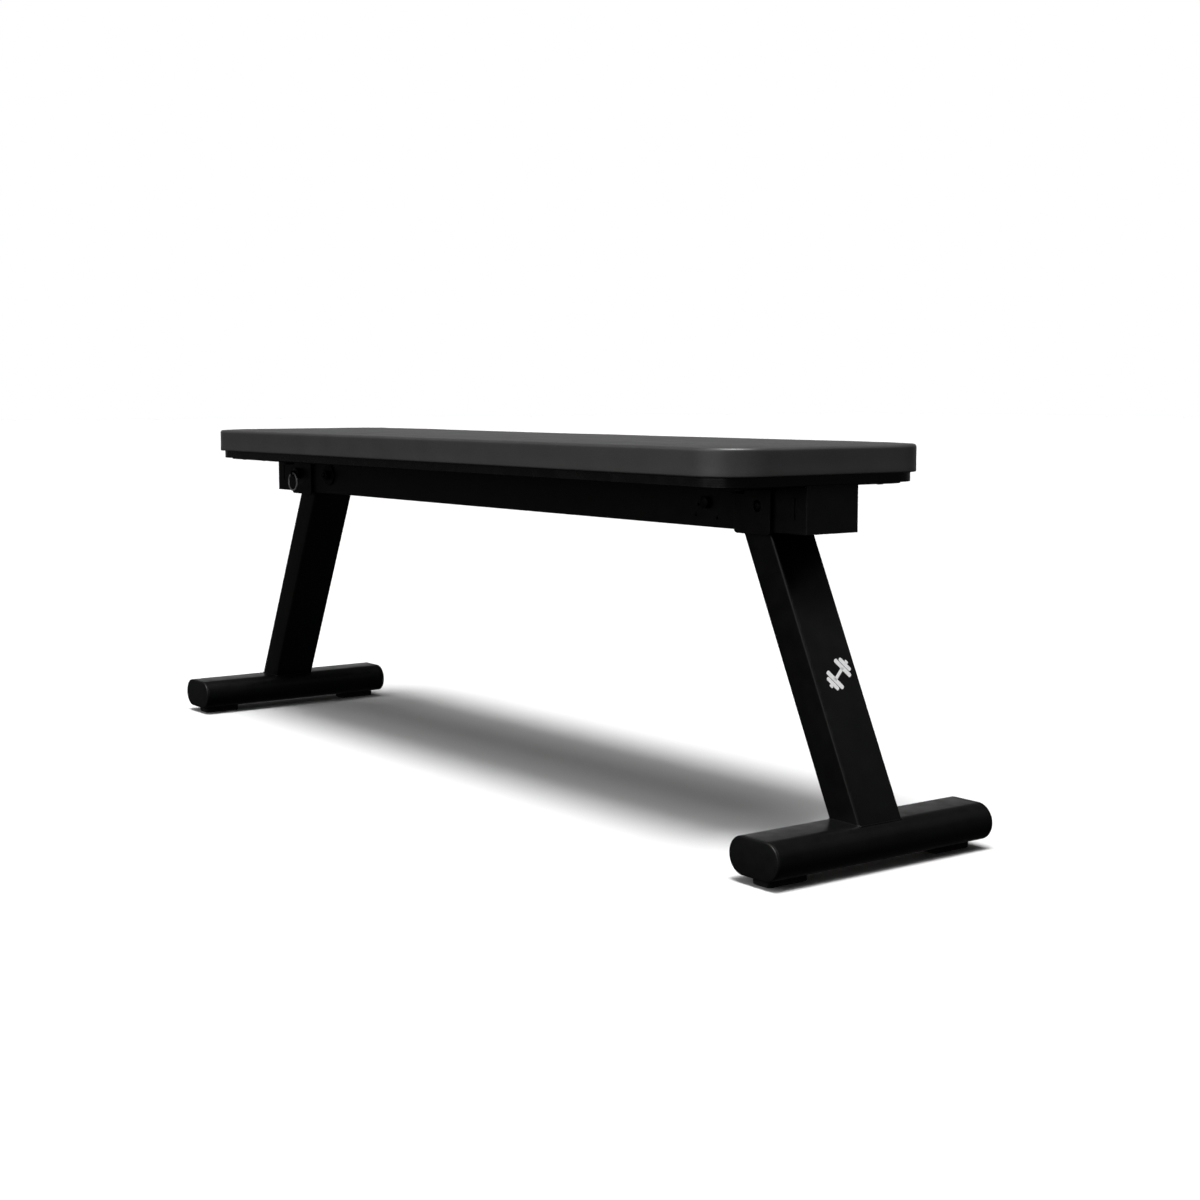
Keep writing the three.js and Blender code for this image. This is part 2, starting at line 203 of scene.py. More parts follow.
class Surface:
    """A Principled material that is built up from procedural grain. Lengths are in millimetres."""

    def __init__(self, name, color, roughness, metallic=0.0, specular=0.5):
        self.material = bpy.data.materials.new(name)
        self.material.use_nodes = True
        self.nodes = self.material.node_tree.nodes
        self.links = self.material.node_tree.links
        self.shader = self.nodes["Principled BSDF"]
        self.shader.inputs["Metallic"].default_value = metallic
        self.shader.inputs["Specular IOR Level"].default_value = specular
        self.color = color
        self.roughness = roughness
        self.place = self.nodes.new("ShaderNodeTexCoord").outputs["Object"]
        self.normal = None

    def stretched(self, x, y, z):
        """The place on the object, with each axis multiplied, for grain that runs one way."""
        mapping = self.nodes.new("ShaderNodeMapping")
        mapping.inputs["Scale"].default_value = (x, y, z)
        self.links.new(self.place, mapping.inputs["Vector"])
        return mapping.outputs["Vector"]

    def speckle(self, size, detail=2.0, place=None):
        """Cloudy noise whose patches are about size millimetres across."""
        node = self.nodes.new("ShaderNodeTexNoise")
        node.inputs["Scale"].default_value = 1 / (size * MM)
        node.inputs["Detail"].default_value = detail
        self.links.new(place or self.place, node.inputs["Vector"])
        return node.outputs["Fac"]

    def cells(self, size, edge):
        """Pebbles about size millimetres across: 0 in the creases between them and 1 on top."""
        node = self.nodes.new("ShaderNodeTexVoronoi")
        node.feature = "DISTANCE_TO_EDGE"
        node.inputs["Scale"].default_value = 1 / (size * MM)
        self.links.new(self.place, node.inputs["Vector"])
        return self.fitted(node.outputs["Distance"], 0, edge, 0, 1)

    def bands(self, size, axis, distortion=0.0):
        """Regular stripes across the axis named, size millimetres apart."""
        node = self.nodes.new("ShaderNodeTexWave")
        node.bands_direction = axis
        node.inputs["Scale"].default_value = 2 * math.pi / (20 * size * MM)
        node.inputs["Distortion"].default_value = distortion
        self.links.new(self.place, node.inputs["Vector"])
        return node.outputs["Fac"]

    def fitted(self, value, low, high, to_low, to_high):
        """The value, stretched and clamped from one range to another."""
        node = self.nodes.new("ShaderNodeMapRange")
        settings = (("From Min", low), ("From Max", high), ("To Min", to_low), ("To Max", to_high))
        for socket, number in settings:
            node.inputs[socket].default_value = number
        self.links.new(value, node.inputs["Value"])
        return node.outputs["Result"]

    def times(self, a, b):
        """The product of two values."""
        node = self.nodes.new("ShaderNodeMath")
        node.operation = "MULTIPLY"
        self.links.new(a, node.inputs[0])
        self.links.new(b, node.inputs[1])
        return node.outputs[0]

    def tint(self, value, spread, low=0.35, high=0.65):
        """The base colour, darker where value is low and lighter where it is high."""
        node = self.nodes.new("ShaderNodeMix")
        node.data_type = "RGBA"
        shades = {"A": 1 - spread, "B": 1 + spread}
        for socket in node.inputs:
            if socket.type == "RGBA":
                share = shades[socket.identifier[0]]
                socket.default_value = (*(min(c * share, 1) for c in self.color), 1)
        self.links.new(self.fitted(value, low, high, 0, 1), node.inputs["Factor"])
        result = [socket for socket in node.outputs if socket.type == "RGBA"][0]
        self.links.new(result, self.shader.inputs["Base Color"])

    def gloss(self, value, spread, low=0.35, high=0.65):
        """Roughness that wanders by spread either way."""
        rough = self.fitted(value, low, high, self.roughness - spread, self.roughness + spread)
        self.links.new(rough, self.shader.inputs["Roughness"])

    def raise_by(self, value, depth, strength=1.0):
        """Adds relief depth millimetres high."""
        bump = self.nodes.new("ShaderNodeBump")
        bump.inputs["Distance"].default_value = depth * MM
        bump.inputs["Strength"].default_value = strength
        self.links.new(value, bump.inputs["Height"])
        if self.normal:
            self.links.new(self.normal, bump.inputs["Normal"])
        self.normal = bump.outputs["Normal"]
        self.links.new(self.normal, self.shader.inputs["Normal"])


def grey(value):
    return (value, value, value)


def make_vinyl():
    """Smooth upholstery vinyl with a fine pebbled grain, and painted shade darkening the creases between
    the pebbles.
    """
    s = Surface("vinyl", grey(0.044), 0.46, specular=0.95)
    pebbles = s.cells(1.5, 0.28)
    # painted shade: the base colour is darker in the creases between the pebbles, mixed with a random
    # cloudy tone
    s.tint(s.times(pebbles, s.speckle(60)), 0.14, 0.1, 0.6)
    s.gloss(s.speckle(35), 0.035)
    s.raise_by(s.speckle(90, 1), 0.35, 0.6)
    s.raise_by(pebbles, 0.05, 0.7)
    s.raise_by(s.speckle(0.45), 0.02, 0.6)
    return s.material


def make_paint():
    """Black powder coat with a faint orange peel."""
    s = Surface("black_powder_coat", grey(0.0026), 0.32, specular=0.31)
    s.tint(s.speckle(45, 3), 0.2)
    s.gloss(s.speckle(18), 0.04)
    s.raise_by(s.speckle(1.9, 1), 0.035)
    s.raise_by(s.speckle(0.5), 0.008)
    return s.material


def make_plastic():
    """Moulded black plastic with a spark-eroded stipple."""
    s = Surface("moulded_plastic", grey(0.005), 0.4, specular=0.35)
    s.tint(s.speckle(30), 0.15)
    s.gloss(s.speckle(8), 0.04)
    s.raise_by(s.speckle(0.7, 3), 0.03)
    return s.material


def make_rubber():
    s = Surface("black_rubber", grey(0.012), 0.8)
    s.tint(s.speckle(6, 4), 0.3)
    s.gloss(s.speckle(4), 0.06)
    s.raise_by(s.speckle(0.9, 3), 0.06)
    return s.material


def make_board():
    """Plywood painted black: the plies show faintly at the edge, the grain on the faces."""
    s = Surface("painted_plywood", grey(0.003), 0.25, specular=0.6)
    grain = s.speckle(9, 4, s.stretched(0.06, 1, 1))
    s.tint(grain, 0.14)
    s.gloss(s.speckle(25), 0.04)
    s.raise_by(grain, 0.015, 0.3)
    s.raise_by(s.bands(2.4, "Z", 0.4), 0.03, 0.4)
    return s.material


def make_backing():
    """Woven black dust cloth, with painted shade in the gaps between its threads."""
    s = Surface("woven_dust_cloth", grey(0.014), 0.9)
    weave = s.times(s.bands(1.5, "X", 0.3), s.bands(1.5, "Y", 0.3))
    # painted shade: the base colour is darker in the low gaps between the threads, where the weave's
    # relief sinks
    s.tint(weave, 0.45, 0.1, 0.7)
    s.gloss(s.speckle(20), 0.05)
    s.raise_by(weave, 0.18, 0.9)
    s.raise_by(s.speckle(40), 0.6, 0.5)
    return s.material


def make_zinc():
    s = Surface("zinc_plate", grey(0.42), 0.34, 1.0)
    s.tint(s.speckle(3, 3), 0.15)
    s.gloss(s.speckle(1.5), 0.07)
    s.raise_by(s.speckle(0.6), 0.006)
    return s.material


def make_dark_steel():
    """Bolts and nuts with a black oxide finish."""
    s = Surface("black_oxide_steel", grey(0.014), 0.48, 0.9)
    s.tint(s.speckle(2, 3), 0.3)
    s.gloss(s.speckle(1.2), 0.08)
    s.raise_by(s.speckle(0.5), 0.006)
    return s.material


def make_bright_steel():
    s = Surface("bright_steel", grey(0.93), 0.46, 1.0)
    s.tint(s.speckle(2.5, 2), 0.08)
    s.gloss(s.speckle(0.8, 3), 0.06)
    s.raise_by(s.speckle(0.4, 1), 0.004)
    return s.material


def make_mark_print():
    """Matt white transfer print."""
    s = Surface("white_print", grey(0.76), 0.55)
    s.tint(s.speckle(3), 0.03)
    s.gloss(s.speckle(1.5), 0.05)
    s.raise_by(s.speckle(0.8), 0.01)
    return s.material


MATERIALS = {
    "vinyl_cover": make_vinyl(),
    "black_paint": make_paint(),
    "black_plastic": make_plastic(),
    "black_rubber": make_rubber(),
    "black_board": make_board(),
    "backing_cloth": make_backing(),
    "zinc_hardware": make_zinc(),
    "black_hardware": make_dark_steel(),
    "bright_steel": make_bright_steel(),
}


# ---------------------------------------------------------------- mesh helpers

def stadium(half_u, half_v, steps):
    """An outline with round ends, as (u, v) points anticlockwise."""
    points = []
    for side, start in ((1, -90), (-1, 90)):
        for n in range(steps + 1):
            a = math.radians(start + 180 * n / steps)
            points.append((side * (half_u - half_v) + half_v * math.cos(a), half_v * math.sin(a)))
    return points


def rounded(half_u, half_v, radius, steps, per_u=1, per_v=1):
    """A rounded rectangle as (u, v) points anticlockwise, with its straight sides cut into parts."""
    points = []
    parts = (per_v, per_u, per_v, per_u)
    corners = ((1, -1, -90), (1, 1, 0), (-1, 1, 90), (-1, -1, 180))
    for index, (sign_u, sign_v, start) in enumerate(corners):
        centre = Vector((sign_u * (half_u - radius), sign_v * (half_v - radius)))
        arc = []
        for n in range(steps + 1):
            a = math.radians(start + 90 * n / steps)
            arc.append(centre + radius * Vector((math.cos(a), math.sin(a))))
        if points:
            bridge(points, arc[0], parts[index - 1])
        points += arc
    bridge(points, points[0], parts[3])
    return [tuple(p) for p in points]


def bridge(points, end, parts):
    """Adds the points between the last one and end, so that the side has that many parts."""
    start = points[-1]
    points += [start.lerp(end, n / parts) for n in range(1, parts)]


def loft(bm, rings, filled=True, loop=False):
    """Skins closed rings of equally many points, and fills both ends unless the rings loop round."""
    made = [[bm.verts.new(p) for p in ring] for ring in rings]
    count = len(made[0])
    pairs = list(zip(made, made[1:] + made[:1])) if loop else list(zip(made, made[1:]))
    for a, b in pairs:
        for n in range(count):
            m = (n + 1) % count
            bm.faces.new((a[n], a[m], b[m], b[n]))
    if filled and not loop:
        bm.faces.new(made[0][::-1])
        bm.faces.new(made[-1])
    return made


def fill_strip(bm, ring, first):
    """Fills a long symmetrical ring with a strip of quads; first is its vertex at one end."""
    count = len(ring)
    for n in range(count // 2):
        near = (ring[(first - n) % count], ring[(first - n - 1) % count])
        far = (ring[(first + n + 1) % count], ring[(first + n) % count])
        bm.faces.new(list(dict.fromkeys((*near, *far))))


def cushion_shell(bm, rings):
    """The cushion's rings, skinned, with the top and bottom closed by strips of quads."""
    made = loft(bm, rings, filled=False)
    first = CUSHION["steps"] + CUSHION["parts_y"] // 2
    fill_strip(bm, made[0], first)
    fill_strip(bm, made[-1], first)


def ring_about(matrix, height, steps, radius_at):
    """Points round the matrix's own Z; radius_at gives a radius from a point's number and angle."""
    ring = []
    for n in range(steps):
        a = 2 * math.pi * n / steps
        radius = radius_at(n, a)
        ring.append(matrix @ Vector((radius * math.cos(a), radius * math.sin(a), height)))
    return ring


def turned(bm, profile, matrix, steps=32, loop=False):
    """A solid of revolution about the matrix's own Z, from (radius, height) pairs."""
    rings = [ring_about(matrix, height, steps, lambda n, a: radius) for radius, height in profile]
    loft(bm, rings, loop=loop)


def hexagon_radius(across, angle):
    """How far a hexagon's edge is from its middle in that direction."""
    sixth = math.pi / 3
    return across / 2 / math.cos(angle % sixth - sixth / 2)


def hexagon(bm, across, low, high, matrix, chamfers=(True, True), bore=0.0):
    """A hexagonal head or nut; chamfers says whether its low and high ends have cut corners."""
    steps = 60
    edge = 0.4 * MM
    rim = across / 2 * 0.96
    drop = (across / math.sqrt(3) - rim) * math.tan(math.radians(30))
    levels = [(low, 0.0 if chamfers[0] else 1.0)]
    if chamfers[0]:
        levels += [(low + drop * k / 4, k / 4) for k in range(1, 5)]
    if chamfers[1]:
        levels += [(high - drop * k / 4, k / 4) for k in range(4, 0, -1)]
    levels.append((high, 0.0 if chamfers[1] else 1.0))
    rings = []
    for height, share in levels:
        limit = rim + (across / math.sqrt(3) - rim) * share

        def trimmed(n, a):
            return min(hexagon_radius(across, a), limit)

        rings.append(ring_about(matrix, height, steps, trimmed))
    if bore:
        wall = ((bore + edge, high), (bore, high - edge), (bore, low + edge), (bore + edge, low))
        rings += [ring_about(matrix, height, steps, lambda n, a: radius) for radius, height in wall]
    loft(bm, rings, loop=bool(bore))


def threaded(bm, radius, pitch, low, high, matrix, steps=24):
    """A threaded rod end: the crest runs round as a helix, and the far end is chamfered."""
    per_turn = 6
    depth = 0.6 * pitch
    count = int((high - low) / pitch * per_turn)
    rings = []
    for k in range(count + 1):
        height = low + (high - low) * k / count
        taper = max(0.0, 1 - (high - height) / pitch) * depth

        def crest(n, a):
            phase = (height / pitch - n / steps) % 1
            return radius - max(depth * (1 - abs(2 * phase - 1)), taper)

        rings.append(ring_about(matrix, height, steps, crest))
    loft(bm, rings)


def across_bench(x, z, y=0.0):
    """A frame at that place whose own Z points along the bench's +Y."""
    turn = Matrix.Rotation(math.radians(-90), 4, "X")
    return Matrix.Translation((x, y, z)) @ turn


def as_object(name, bm):
    """Makes an object of a finished bmesh, with its faces turned outwards, and frees the bmesh."""
    bmesh.ops.recalc_face_normals(bm, faces=bm.faces)
    mesh = bpy.data.meshes.new(name)
    bm.to_mesh(mesh)
    bm.free()
    obj = bpy.data.objects.new(name, mesh)
    bpy.context.collection.objects.link(obj)
    return obj


def shade(obj, angle=35):
    """Smooth shading, with edges sharper than the angle kept crisp."""
    bm = bmesh.new()
    bm.from_mesh(obj.data)
    for face in bm.faces:
        face.smooth = True
    for edge in bm.edges:
        edge.smooth = not (edge.is_manifold and edge.calc_face_angle(0) > math.radians(angle))
    bm.to_mesh(obj.data)
    bm.free()


def carve(obj, cutter, operation="DIFFERENCE"):
    """Cuts obj by the closed mesh cutter, which is used up."""
    tool = as_object(obj.name + "_tool", cutter)
    modifier = obj.modifiers.new("carve", "BOOLEAN")
    modifier.operation = operation
    modifier.solver = "EXACT"
    modifier.object = tool
    bpy.context.view_layer.update()
    depsgraph = bpy.context.evaluated_depsgraph_get()
    result = bpy.data.meshes.new_from_object(obj.evaluated_get(depsgraph))
    obj.modifiers.clear()
    obj.data = result
    bpy.data.objects.remove(tool)


def round_edges(obj, width, segments=2, angle=40):
    """A narrow bevel on every edge sharper than the angle."""
    edge = obj.modifiers.new("soft_edges", "BEVEL")
    edge.width = width * MM
    edge.segments = segments
    edge.limit_method = "ANGLE"
    edge.angle_limit = math.radians(angle)
    edge.harden_normals = True


def fit_out(obj, side, body, slot, *nodes, angle=35, material=None):
    """Puts a finished piece at its end of the bench, on the body it rides on, and hides the CAD nodes it
    stands in for.
    """
    obj.data.transform(END[side])
    shade(obj, angle)
    obj.data.materials.clear()
    obj.data.materials.append(material or MATERIALS[slot])
    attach(obj, body)
    if nodes:
        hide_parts(*nodes)


def right_box(node):
    """A right-hand node's lowest and highest corners at rest, and its middle."""
    low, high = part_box("right_" + node)
    return low, high, (low + high) / 2


def soften(name, width, slot):
    """A carried CAD piece: flat faces merged, corners given a small radius, round walls smooth."""
    node = NODES[name]
    mesh = node.data
    if "custom_normal" in mesh.attributes:
        mesh.attributes.remove(mesh.attributes["custom_normal"])
    for face in mesh.polygons:
        face.use_smooth = True
    weld = node.modifiers.new("weld", "WELD")
    weld.merge_threshold = 0.01 * MM
    merge = node.modifiers.new("merge_flat_faces", "DECIMATE")
    merge.decimate_type = "DISSOLVE"
    merge.angle_limit = math.radians(1)
    round_edges(node, width)
    mesh.materials.clear()
    mesh.materials.append(MATERIALS[slot])


# ---------------------------------------------------------------- the cushion

CUSHION = {
    "corner": 50 * MM,
    "edge": 3.5 * MM,
    "foot": 1.2 * MM,
    "inset": 0.35 * MM,
    "swell": 1.0 * MM,
    "crown": 0.7 * MM,
    "pleat": 0.3 * MM,
    "wander": 0.25 * MM,
    "glued": 4 * MM,
    "steps": 10,
    "parts_x": 120,
    "parts_y": 22,
}
CLOTH_FRAMES = 20

# the taut side walls show little of the cloth's sideways movement
WALL_SHARE = 0.3


def cushion_rings(low, high, inset):
    """The cushion's closed shell, ring by ring, from the middle of its flat bottom to its top's."""
    half = (high - low) / 2
    # how far in from the side and how high: bottom, rounded foot, wall, rounded edge, then top
    levels = [(d * MM, low.z) for d in (130, 90, 50, 20, 5)]
    foot, edge = CUSHION["foot"], CUSHION["edge"]
    for degrees in (0, 30, 60, 90):
        a = math.radians(degrees)
        levels.append((foot * (1 - math.sin(a)), low.z + foot * (1 - math.cos(a))))
    wall_low, wall_high = low.z + foot, high.z - inset - edge
    for share in (0.2, 0.4, 0.6, 0.8, 1.0):
        levels.append((0.0, wall_low + (wall_high - wall_low) * share))
    for n in range(1, 9):
        a = math.radians(90 * n / 8)
        levels.append((edge * (1 - math.cos(a)), wall_high + edge * math.sin(a)))
    for d in (15, 20, 26, 33, 41, 50, 60, 71, 83, 95, 107, 118, 128, 136, 141):
        levels.append((d * MM, high.z - inset))
    rings = []
    for d, z in levels:
        radius = max(CUSHION["corner"] - inset - d, 3 * MM)
        outline = rounded(half.x - inset - d, half.y - inset - d, radius,
                          CUSHION["steps"], CUSHION["parts_x"], CUSHION["parts_y"])
        rings.append([Vector((u, v, z)) for u, v in outline])
    return rings


def swell_of(low, high):
    """Inflates a slightly smaller copy of the cushion as cloth and returns how far each point moved."""
    bm = bmesh.new()
    cushion_shell(bm, cushion_rings(low, high, CUSHION["swell"]))
    balloon = as_object("cushion_balloon", bm)
    remesh = balloon.modifiers.new("remesh", "REMESH")
    remesh.mode = "VOXEL"
    remesh.voxel_size = 6 * MM
    bpy.context.view_layer.update()
    depsgraph = bpy.context.evaluated_depsgraph_get()
    balloon_mesh = bpy.data.meshes.new_from_object(balloon.evaluated_get(depsgraph))
    balloon.modifiers.clear()
    balloon.data = balloon_mesh
    seated = balloon.vertex_groups.new(name="seated")
    glued = [v.index for v in balloon_mesh.vertices if v.co.z < low.z + CUSHION["glued"]]
    seated.add(glued, 1.0, "REPLACE")
    rest = [v.co.copy() for v in balloon_mesh.vertices]
    cloth = balloon.modifiers.new("cloth", "CLOTH")
    settings = cloth.settings
    settings.quality = 5
    settings.mass = 0.3
    settings.tension_stiffness = 40
    settings.compression_stiffness = 40
    settings.bending_stiffness = 2
    settings.vertex_group_mass = "seated"
    settings.use_pressure = True
    settings.uniform_pressure_force = 4
    settings.effector_weights.gravity = 0
    cloth.point_cache.frame_start = 1
    cloth.point_cache.frame_end = CLOTH_FRAMES
    scene = bpy.context.scene
    for step in range(1, CLOTH_FRAMES + 1):
        scene.frame_set(step)
    depsgraph = bpy.context.evaluated_depsgraph_get()
    moved = bpy.data.meshes.new_from_object(balloon.evaluated_get(depsgraph))
    shifts = [moved.vertices[n].co - rest[n] for n in range(len(rest))]
    bpy.data.objects.remove(balloon)
    scene.frame_set(1)
    return rest, shifts


def spread_shift(tree, shifts, place):
    """The cloth's movement near a place, blended from the nearest of its points."""
    total, weight = Vector(), 0.0
    for _, index, distance in tree.find_n(place, 12):
        w = 1 / (distance + 2 * MM) ** 2
        total += shifts[index] * w
        weight += w
    return total / weight


def corner_share(place, half):
    """0 along the straight sides, 1 in the middle of a corner."""
    beyond_x = abs(place.x) - (half.x - CUSHION["corner"])
    beyond_y = abs(place.y) - (half.y - CUSHION["corner"])
    if beyond_x <= 0 or beyond_y <= 0:
        return 0.0
    return math.sin(2 * math.atan2(beyond_y, beyond_x))


def make_cushion():
    """Foam in tight vinyl: a crisp slab, a little crowned, with faint pleats low on its corners."""
    low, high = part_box("pad_cushion")
    half = (high - low) / 2
    bm = bmesh.new()
    cushion_shell(bm, cushion_rings(low, high, CUSHION["inset"]))
    rest, shifts = swell_of(low, high)
    tree = kdtree.KDTree(len(rest))
    for index, place in enumerate(rest):
        tree.insert(place, index)
    tree.balance()
    for vertex in bm.verts:
        place = vertex.co.copy()
        rise = (place.z - low.z) / (high.z - low.z)
        if rise < 0.01:
            continue
        shift = spread_shift(tree, shifts, place)
        if shift.length > CUSHION["swell"]:
            shift *= CUSHION["swell"] / shift.length
        shift = Vector((shift.x * WALL_SHARE, shift.y * WALL_SHARE, shift.z))
        crown = 1 - max(abs(place.x) / half.x, abs(place.y) / half.y) ** 2
        lift = CUSHION["crown"] * crown * rise
        wander = noise.noise(place * 9) * CUSHION["wander"] * rise
        outward = Vector((place.x, place.y, 0)).normalized()
        pleat_at = math.atan2(abs(place.y) - half.y, abs(place.x) - half.x + 2 * CUSHION["corner"])
        pleats = math.sin(place.x * 520 + place.y * 410 + pleat_at)
        tuck = CUSHION["pleat"] * pleats * corner_share(place, half) * max(0.0, 1 - rise / 0.45)
        vertex.co = place + shift * min(rise * 3, 1) + Vector((0, 0, lift + wander)) + outward * tuck
    cushion = as_object("pad_cushion_finished", bm)
    smooth = cushion.modifiers.new("subdivide", "SUBSURF")
    smooth.levels = 1
    smooth.render_levels = 1
    fit_out(cushion, "right", "bench", "vinyl_cover", "pad_cushion", angle=80)


# ---------------------------------------------------------------- the rest of the seat

def make_staples():
    """Wire staples that hold the dust cloth, a hand's breadth apart round its rim."""
    low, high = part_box("pad_backing_sheet")
    half = (high - low) / 2
    wire, crown, inset, pitch = 0.5 * MM, 9 * MM, 7 * MM, 58 * MM
    reach = half.x - 50 * MM
    count = int(2 * reach / pitch)
    places = []
    for sign in (1, -1):
        for n in range(count + 1):
            x = -reach + 2 * reach * n / count
            places.append((x, sign * (half.y - inset), 0))
        for n in (-1.5, -0.5, 0.5, 1.5):
            places.append((sign * (half.x - inset), n * pitch, 90))
    bm = bmesh.new()
    for index, (x, y, turn) in enumerate(places):
        tilt = turn + 7 * noise.noise(Vector((index * 3.7, 0, 0)))
        matrix = Matrix.Translation((x, y, low.z)) @ Matrix.Rotation(math.radians(tilt), 4, "Z")
        # along, as a share of the crown's width, and height in millimetres
        path = ((-0.5, 0.8), (-0.5, -0.3), (-0.42, -0.6), (0.42, -0.6), (0.5, -0.3), (0.5, 0.8))
        rings = []
        for along, depth in path:
            ring = []
            for a, b in ((-1, -0.6), (1, -0.6), (1, 0.6), (-1, 0.6)):
                leg = abs(depth) > 0.5 and abs(along) < 0.5
                lean = (0, a * wire, b * wire) if leg else (b * wire, a * wire, 0)
                ring.append(matrix @ (Vector((along * crown, 0, depth * MM)) + Vector(lean)))
            rings.append(ring)
        loft(bm, rings)
    staples = as_object("backing_staples", bm)
    fit_out(staples, "right", "bench", "black_hardware")


def make_seat_frame():
    soften("pad_board", 2.4, "black_board")
    soften("pad_backing_sheet", 0.3, "backing_cloth")
    soften("spine_channel", 0.6, "black_paint")
    for side in END:
        soften(side + "_channel_end_cap", 0.3, "black_plastic")
        for hand in HANDS:
            soften(f"{side}_tee_nut_{hand}", 0.2, "zinc_hardware")


def make_bracket(side, hand):
    """A bent plate that ties the spine to the board: its bend and its corners are round."""
    sign = HANDS[hand]
    low, high, _ = right_box("side_bracket_" + hand)
    near = min(abs(low.y), abs(high.y))
    reach = max(abs(low.y), abs(high.y))
    plate, bend, corner = 3.8 * MM, 2.2 * MM, 5 * MM
    outer = plate + bend
    profile = [(near, low.z)]
    for n in range(7):
        a = math.radians(180 - 15 * n)
        profile.append((near + outer + outer * math.cos(a), high.z - outer + outer * math.sin(a)))
    profile += [(reach, high.z), (reach, high.z - plate)]
    for n in range(7):
        a = math.radians(90 + 15 * n)
        profile.append((near + outer + bend * math.cos(a), high.z - outer + bend * math.sin(a)))
    profile.append((near + plate, low.z))
    bm = bmesh.new()
    rings = [[Vector((x, sign * y, z)) for y, z in profile] for x in (low.x, high.x)]
    loft(bm, rings)
    bracket = as_object(f"{side}_side_bracket_{hand}_finished", bm)
    middle = (low.x + high.x) / 2
    half = (high.x - low.x) / 2
    tall = high.z - low.z
    # rounds the lower corners of the upright
    up = bmesh.new()
    outline = rounded(half, tall, corner, 6)
    loft(up, [[Vector((middle + u, y, low.z + tall + v)) for u, v in outline] for y in (-0.2, 0.2)])
    carve(bracket, up, "INTERSECT")
    # rounds the outer corners of the flange
    across = bmesh.new()
    outline = rounded(half, reach, corner, 6)
    loft(across, [[Vector((middle + u, v, z)) for u, v in outline] for z in (0.2, 0.6)])
    carve(bracket, across, "INTERSECT")
    lock = right_box("lock_pin")[2]
    hole = bmesh.new()
    bore = 6.2 * MM
    turned(hole, [(bore, sign * 30 * MM), (bore, sign * 50 * MM)], across_bench(lock.x, lock.z), 48)
    carve(bracket, hole)
    bolt = right_box("bracket_bolt_" + hand)[2]
    hole = bmesh.new()
    bore = 4.4 * MM
    turned(hole, [(bore, 0.3), (bore, 0.5)], Matrix.Translation((bolt.x, bolt.y, 0)))
    carve(bracket, hole)
    round_edges(bracket, 0.5)
    name = f"{side}_side_bracket_{hand}"
    fit_out(bracket, side, "bench", "black_paint", name)


def make_bracket_bolt(side, hand):
    """A hexagon bolt up through the bracket into the board's tee nut."""
    low, high, middle = right_box("bracket_bolt_" + hand)
    matrix = Matrix.Translation((middle.x, middle.y, low.z))
    bm = bmesh.new()
    hexagon(bm, M8_ACROSS, 0, 4 * MM, matrix, (True, False))
    turned(bm, [(3.2 * MM, 3.6 * MM), (M8_RADIUS, 3.8 * MM), (M8_RADIUS, 8 * MM)], matrix)
    threaded(bm, M8_RADIUS, M8_PITCH, 7.5 * MM, high.z - low.z, matrix)
    name = f"{side}_bracket_bolt_{hand}"
    bolt = as_object(name + "_finished", bm)
    fit_out(bolt, side, "bench", "black_hardware", name)


# ---------------------------------------------------------------- the pivot

def make_pivot(side):
    """Bolt, washer and nut on which the leg folds."""
    low, high, middle = right_box("pivot_bolt")
    matrix = across_bench(middle.x, middle.z)
    head = 5.3 * MM
    bm = bmesh.new()
    hexagon(bm, M8_ACROSS, low.y, low.y + head, matrix, (True, False))
    turned(bm, [(M8_RADIUS, low.y + head - 0.1 * MM), (M8_RADIUS, high.y - 14 * MM)], matrix)
    threaded(bm, M8_RADIUS, M8_PITCH, high.y - 14.2 * MM, high.y, matrix)
    bolt = as_object(side + "_pivot_bolt_finished", bm)
    fit_out(bolt, side, "bench", "black_hardware", side + "_pivot_bolt")

    low, high, _ = right_box("pivot_nut")
    bm = bmesh.new()
    hexagon(bm, M8_ACROSS, low.y, high.y, matrix, bore=4.1 * MM)
    nut = as_object(side + "_pivot_nut_finished", bm)
    fit_out(nut, side, "bench", "black_hardware", side + "_pivot_nut")

    low, high, _ = right_box("pivot_washer")
    radius = (high.x - low.x) / 2
    bore, soft = 4.4 * MM, 0.4 * MM
    profile = [
        (bore, low.y),
        (radius - soft, low.y),
        (radius, low.y + soft),
        (radius, high.y - soft),
        (radius - soft, high.y),
        (bore, high.y),
    ]
    bm = bmesh.new()
    turned(bm, profile, matrix, 64, loop=True)
    washer = as_object(side + "_pivot_washer_finished", bm)
    fit_out(washer, side, "bench", "black_hardware", side + "_pivot_washer")


# ---------------------------------------------------------------- the lock

